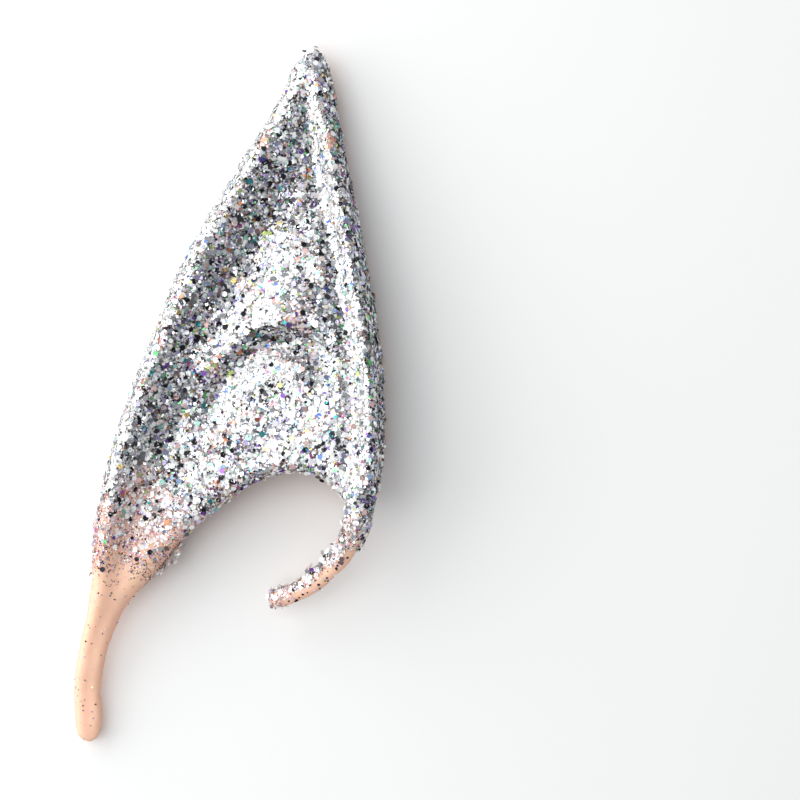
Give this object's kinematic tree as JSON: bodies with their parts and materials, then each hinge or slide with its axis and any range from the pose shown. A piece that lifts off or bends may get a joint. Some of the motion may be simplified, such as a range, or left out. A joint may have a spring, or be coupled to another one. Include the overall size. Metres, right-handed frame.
{
  "type": "elf ear tip",
  "caption": "Slip-on pointed elf ear tip in soft flesh-coloured latex with a glitter coat, a pocket for the top of the ear, a tail and a thin hook.",
  "frame": {"origin": "on the table under the middle of the ear's outline, as it lies on its back", "axes": "+X from the tail's side to the front rim, +Y from the tail to the tip, +Z out of the face"},
  "size_m": [0.0538, 0.12, 0.0177],
  "materials": {
    "latex": "satin, soft slip-cast latex",
    "glitter": "metallized film flakes"
  },
  "bodies": {
    "root": {"ear_shell": "latex"}
  },
  "joints": []
}
